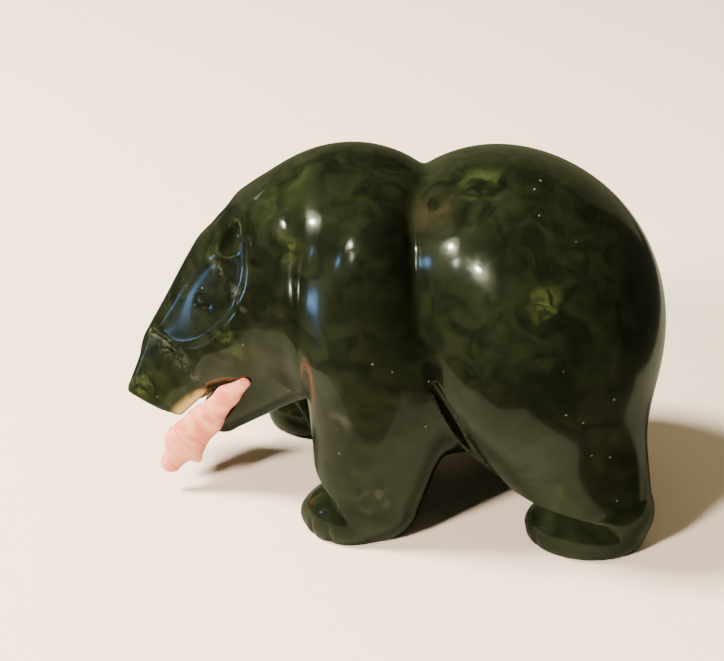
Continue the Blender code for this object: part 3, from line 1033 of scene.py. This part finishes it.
# %% [markdown]
# ## The camera
#
# The picture was taken close by and from above, so what is near the lens looks larger. The
# camera's place was found by fitting: where the paws meet the table, and then the outline of the
# whole bear, had to fall on the same pixels as in the photograph. Its focal length is kept in
# pixels of a picture 724 wide and turned into millimetres here.

# %% Camera
AZIMUTH = math.radians(5.0)
ELEVATION = math.radians(32.0)
TARGET = Vector(placed((-4.56, 1.61, 20.15)))
DISTANCE = 151.0 * SCALE
FOCAL_PX = 1250.0
IMAGE_WIDTH_PX = 724
SENSOR = 36.0
NEAREST = 5.0 * MM

back = Vector((
    math.sin(AZIMUTH) * math.cos(ELEVATION),
    -math.cos(AZIMUTH) * math.cos(ELEVATION),
    math.sin(ELEVATION),
))
camera_data = bpy.data.cameras.new("camera")
camera_data.sensor_width = SENSOR
camera_data.lens = FOCAL_PX / IMAGE_WIDTH_PX * SENSOR
camera_data.clip_start = NEAREST
camera = bpy.data.objects.new("camera", camera_data)
bpy.context.scene.collection.objects.link(camera)
camera.location = TARGET + back * DISTANCE
camera.rotation_euler = back.to_track_quat("Z", "Y").to_euler()
bpy.context.scene.camera = camera
print("lens", round(camera_data.lens, 1), "mm, camera", round(DISTANCE / MM), "mm away")

# %% [markdown]
# ## Lamps that light the scene
#
# The bear's shadow runs to the right and away from the camera, so the main lamp stands at the
# front left, 30 degrees up. A second lamp stands higher on the left, for the short shadow under
# the head, and a large warm one fills the rest. These three stay out of reflections, because the
# bright spots on the stone get lamps of their own further on. A pale olive panel behind the bear
# does the opposite: it lights nothing but gloss, and draws the soft light rim along the back.

# %% Soft lamps
def panel(name, centre, size, radiance, colour):
    """A soft rectangular lamp at a place in metres that looks at the carving."""
    data = bpy.data.lights.new(name, "AREA")
    data.shape = "RECTANGLE"
    data.size, data.size_y = size
    data.energy = radiance * math.pi * size[0] * size[1]
    data.color = colour
    made = bpy.data.objects.new(name, data)
    bpy.context.scene.collection.objects.link(made)
    made.location = centre
    made.rotation_euler = (Vector(centre) - TARGET).to_track_quat("Z", "Y").to_euler()
    return made


def toward(azimuth, elevation):
    """A direction of length 1 from two angles in degrees."""
    turn, lift = math.radians(azimuth), math.radians(elevation)
    level = math.cos(lift)
    return Vector((math.cos(turn) * level, math.sin(turn) * level, math.sin(lift)))


# Name, the way from the carving, size, radiance and colour.
SOFT_LAMPS = (
    ("key", toward(-138.0, 30.0) * 0.6, (0.07, 0.15), 370.0, (1.0, 0.8, 0.66)),
    ("second", toward(178.0, 54.0) * 0.6, (0.12, 0.12), 360.0, (1.0, 0.86, 0.7)),
    ("fill", toward(60.0, 75.0) * 0.9, (1.0, 1.0), 1.15, (1.0, 0.78, 0.45)),
)
for name, away, size, radiance, colour in SOFT_LAMPS:
    panel(name, TARGET + away, size, radiance, colour).visible_glossy = False

rim = panel("wall", (0.0, 0.14, 0.08), (0.32, 0.16), 0.17, (1.0, 1.0, 0.45))
rim.visible_diffuse = False

# %% [markdown]
# ## Glints
#
# A polished egg shows a small lamp as a glint, and the photograph has a few white glints and
# some narrow blue ones. Where each one lies on the skin is known, so the direction in which its
# lamp must stand follows from the mirror law. Each lamp has a narrow beam aimed at its own spot,
# which keeps it from being mirrored anywhere else.
#
# Blender keeps a lamp's power when its beam narrows, so the light along the middle of the beam
# grows by about twelve over the square of its angle in radians. The power is divided by that.

# %% Small lamps for the glints
WHITE = (1.0, 1.0, 0.95)
BLUE = (0.25, 0.5, 1.0)
BEAM_GAIN = 12.0
# Name, spot in the drawing, the lamp's two angles, distance, size, radiance, colour and beam.
GLINTS = (
    ("glint_shoulder", (-4.8, -10.6, 38.3), (-138.0, 32.0), 0.20, (0.020, 0.050), 1800.0, WHITE, 3.0),
    ("glint_rump", (8.7, -11.9, 36.7), (-115.0, 26.0), 0.20, (0.012, 0.032), 1200.0, WHITE, 3.0),
    ("glint_neck", (-10.7, -8.1, 35.9), (-112.0, -9.0), 0.055, (0.005, 0.012), 120.0, WHITE, 8.0),
    ("glint_waist", (2.2, -9.4, 35.9), (-128.0, 23.0), 0.10, (0.004, 0.022), 150.0, WHITE, 8.0),
    ("glint_ear", (-18.0, -3.2, 37.9), (144.0, 27.0), 0.10, (0.003, 0.003), 120.0, WHITE, 3.0),
    ("window_waist", (4.4, -10.2, 35.0), (-152.0, 12.0), 0.10, (0.014, 0.070), 24.0, BLUE, 9.0),
    ("window_head", (-24.2, -4.2, 26.7), (-151.0, -16.0), 0.06, (0.004, 0.020), 14.0, BLUE, 9.0),
    ("window_body", (-9.0, -10.7, 31.4), (-173.0, -15.0), 0.075, (0.016, 0.026), 22.0, BLUE, 14.0),
    ("window_ear", (-19.6, -4.4, 32.7), (-151.0, -5.0), 0.06, (0.010, 0.014), 8.0, BLUE, 3.0),
)


def glint(name, spot, angles, distance, size, radiance, colour, beam):
    """A lamp in metres aimed at a spot of the drawing, seen only as a reflection."""
    away, spread = toward(*angles), math.radians(beam)
    power = radiance * spread ** 2 / BEAM_GAIN
    lamp = panel(name, Vector(placed(spot)) + away * distance, size, power, colour)
    lamp.rotation_euler = away.to_track_quat("Z", "Y").to_euler()
    lamp.data.spread = spread
    lamp.visible_diffuse = False


for row in GLINTS:
    glint(*row)
print(len(SOFT_LAMPS) + 1, "soft lamps and", len(GLINTS), "glints")

# %% [markdown]
# ## The dim room
#
# What no lamp reaches gets a weak, warm light from all around, so that nothing is quite black.

# %% World
ROOM_COLOUR = (1.0, 0.95, 0.7, 1.0)
ROOM_STRENGTH = 0.05

world = bpy.data.worlds.new("room")
bpy.context.scene.world = world
world.use_nodes = True
background = world.node_tree.nodes["Background"]
background.inputs["Color"].default_value = ROOM_COLOUR
background.inputs["Strength"].default_value = ROOM_STRENGTH
